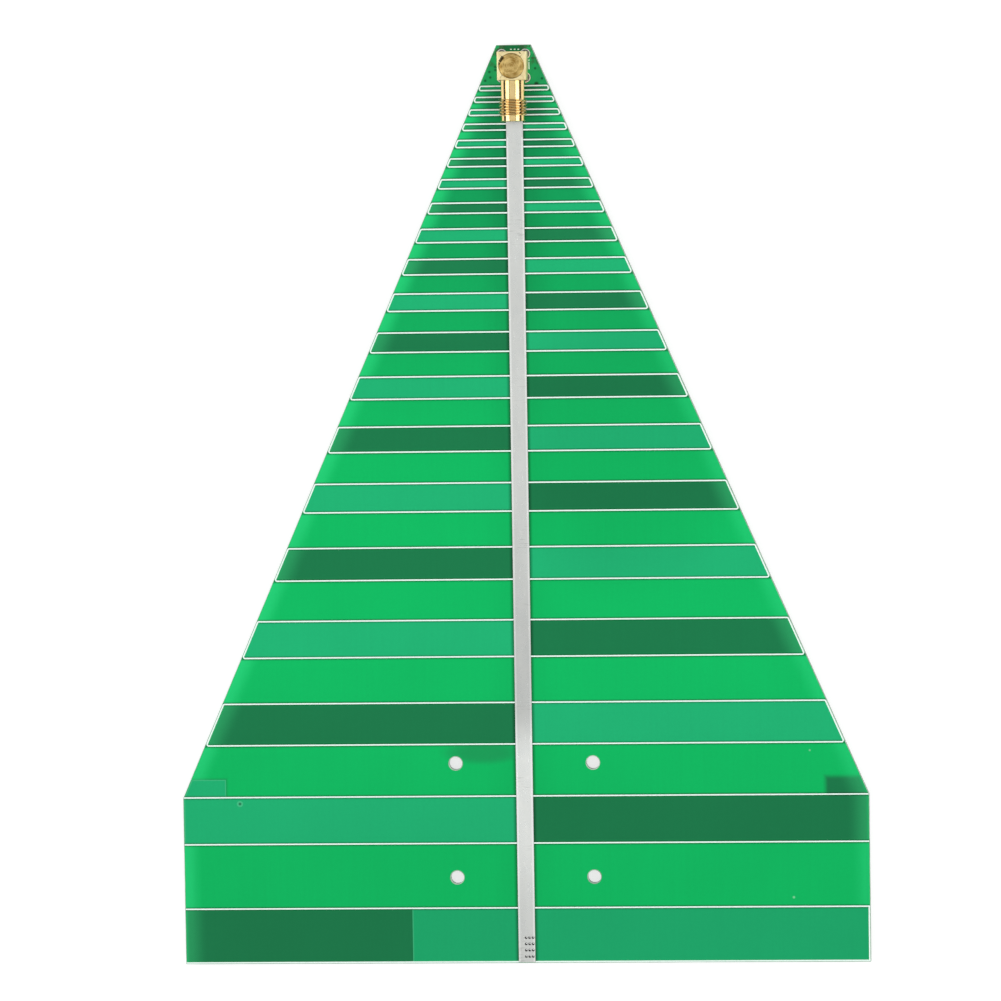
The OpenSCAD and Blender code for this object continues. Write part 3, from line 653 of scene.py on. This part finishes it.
barrel = bmesh.new()
lathe(barrel, [
    (BORE_R, 0.05), (NECK_R, 0.05), (NECK_R, NECK_LEN - 0.05), (ROOT_R, NECK_LEN + 0.1),
    (ROOT_R, THREAD_END - 0.1), (NECK_R, THREAD_END + 0.02), (NECK_R, BARREL_LEN - 0.12),
    (NECK_R - 0.12, BARREL_LEN), (MOUTH_R + 0.06, BARREL_LEN), (MOUTH_R, BARREL_LEN - 0.08),
    (MOUTH_R, BARREL_LEN - MOUTH_DEPTH), (BORE_R, BARREL_LEN - MOUTH_DEPTH), (BORE_R, 0.05)])
ridge = bmesh.new()
TURNS, STEPS = 6, 48
RIDGE_R = ROOT_R - 0.05
section = [(RIDGE_R, -0.40 * PITCH), (CREST_R, -0.07 * PITCH), (CREST_R, 0.07 * PITCH),
           (RIDGE_R, 0.40 * PITCH)]
start = [ridge.verts.new((r, 0, NECK_LEN - 0.5 * PITCH + h)) for r, h in section]
face = ridge.faces.new(start)
bmesh.ops.spin(ridge, geom=[face] + face.edges[:] + start, cent=(0, 0, 0), axis=(0, 0, 1),
               dvec=(0, 0, PITCH / STEPS), angle=2 * math.pi * TURNS, steps=STEPS * TURNS,
               use_merge=False, use_duplicate=False)
for height, outward in ((NECK_LEN, False), (THREAD_END, True)):
    whole = ridge.verts[:] + ridge.edges[:] + ridge.faces[:]
    bmesh.ops.bisect_plane(ridge, geom=whole, dist=1e-6, plane_co=(0, 0, height),
                           plane_no=(0, 0, 1), clear_outer=outward, clear_inner=not outward)
    open_edges = [e for e in ridge.edges if e.is_boundary]
    bmesh.ops.holes_fill(ridge, edges=open_edges, sides=0)
helix = bpy.data.meshes.new("helix")
ridge.to_mesh(helix)
ridge.free()
barrel.from_mesh(helix)
bpy.data.meshes.remove(helix)
to_barrel = Matrix.Translation((0, FRONT_Y, AXIS_Z)) @ Matrix.Rotation(math.radians(90), 4, "X")
bmesh.ops.transform(barrel, matrix=to_barrel, verts=barrel.verts)
barrel_piece = piece("jack_barrel_turned", barrel, gold, "gold_plate", "jack_barrel")
shade_smooth(barrel_piece)

# %% [markdown]
# ## Solder
# Solder climbs each leg from its ring in a hollow curve. On a real board it wets the wall of the
# hole first and draws down to a thin edge. Each joint is a spun profile with that hollow curve.

# %% Solder joints


def joint(mesh, x, y, inner, outer, height, steps=32):
    """A hollow-sided cone under the back face, round a leg or the pin."""
    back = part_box("back_tinning")[0].z / MM
    curve = [(outer - (outer - inner) * t, back - height * t ** 2.2)
             for t in (0, 0.2, 0.4, 0.6, 0.8, 1)]
    plug = [(0, back + 0.3), (outer * 0.8, back + 0.3), (outer * 0.8, back)]
    part = bmesh.new()
    lathe(part, plug + curve + [(0, back - height)], steps=steps)
    bmesh.ops.translate(part, vec=(x, y, 0), verts=part.verts)
    data = bpy.data.meshes.new("joint")
    part.to_mesh(data)
    part.free()
    mesh.from_mesh(data)
    bpy.data.meshes.remove(data)


legs = bmesh.new()
LEG_R = LEG_W / math.sqrt(2)
leg_low, leg_high = (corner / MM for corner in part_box("leg_solder"))
ring_r = leg_high.x - LEG_PITCH / 2
for sx in (-1, 1):
    for sy in (-1, 1):
        joint(legs, sx * LEG_PITCH / 2, JACK_Y + sy * LEG_PITCH / 2,
              LEG_R + 0.02, ring_r, -leg_low.z - 0.06)
leg_joints = piece("leg_joints", legs, solder, "solder", "leg_solder")
shade_smooth(leg_joints, 50)

pin = bmesh.new()
pin_low, pin_high = (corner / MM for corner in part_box("pin_solder"))
joint(pin, 0, JACK_Y, 0.66, pin_high.x, -pin_low.z - 0.06)
pin_joint = piece("pin_joint", pin, solder, "solder", "pin_solder")
shade_smooth(pin_joint, 50)

# %% [markdown]
# ## Studio
# The board lies on white paper under two soft boxes, one on each side, and a dim one overhead. The
# overhead one is what the flat tin mirrors, so it stays dimmer than the sides. The paper adds a
# little light of its own for the camera, and keeps the shadow under the board.

# %% Floor and lights
# Distance along the board that the paper is centred on and the lamps look at, in metres
FOCUS_Y = 0.07
floor_mesh = bmesh.new()
bmesh.ops.create_grid(floor_mesh, x_segments=1, y_segments=1, size=3.0)
floor_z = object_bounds()[0].z
bmesh.ops.translate(floor_mesh, vec=(0, FOCUS_Y, floor_z), verts=floor_mesh.verts)
floor_data = bpy.data.meshes.new("paper")
floor_mesh.to_mesh(floor_data)
floor_mesh.free()
paper = bpy.data.objects.new("paper", floor_data)
bpy.context.scene.collection.objects.link(paper)

white = Finish("white paper", Roughness=1.0, Specular_IOR_Level=0.0)
white.shader.inputs["Base Color"].default_value = (0.4, 0.4, 0.4, 1.0)
path = white.node("ShaderNodeLightPath").socket.node
camera_ray, glossy_ray, passing_ray = (
    Wire(white, path.outputs["Is %s Ray" % kind]) for kind in ("Camera", "Glossy", "Transmission"))
seen = camera_ray.most(glossy_ray).most(passing_ray)
glow = white.node("ShaderNodeEmission", values={"Color": (1, 1, 1, 1), "Strength": seen * 0.74})
both = white.node("ShaderNodeAddShader", values={0: Wire(white, white.shader.outputs[0]), 1: glow})
white.tree.links.new(both.socket, white.tree.nodes["Material Output"].inputs["Surface"])
floor_data.materials.append(white.material)


def soft_box(name, centre, width, height, radiance):
    """A soft box that looks at the board and gives a set radiance."""
    lamp = bpy.data.lights.new(name, "AREA")
    lamp.shape = "RECTANGLE"
    lamp.size, lamp.size_y = width, height
    lamp.energy = radiance * math.pi * width * height
    box = bpy.data.objects.new(name, lamp)
    box.location = centre
    toward_board = Vector((0, FOCUS_Y, 0)) - Vector(centre)
    box.rotation_euler = toward_board.to_track_quat("-Z", "Y").to_euler()
    box.visible_camera = False
    bpy.context.scene.collection.objects.link(box)


REACH, RISE = 1.0, math.radians(42)
for side in (-1, 1):
    place = (side * REACH * math.cos(RISE), FOCUS_Y, REACH * math.sin(RISE))
    soft_box("side box", place, 2.0, 0.6, 2.5)
soft_box("top box", (0.0, FOCUS_Y, 1.7), 1.7, 1.7, 0.76)
world = bpy.data.worlds.new("studio")
bpy.context.scene.world = world
world.use_nodes = True
background = world.node_tree.nodes["Background"]
background.inputs["Color"].default_value = (1.0, 1.0, 1.0, 1.0)
background.inputs["Strength"].default_value = 0.06
print("floor at", round(floor_z / MM, 3), "mm")
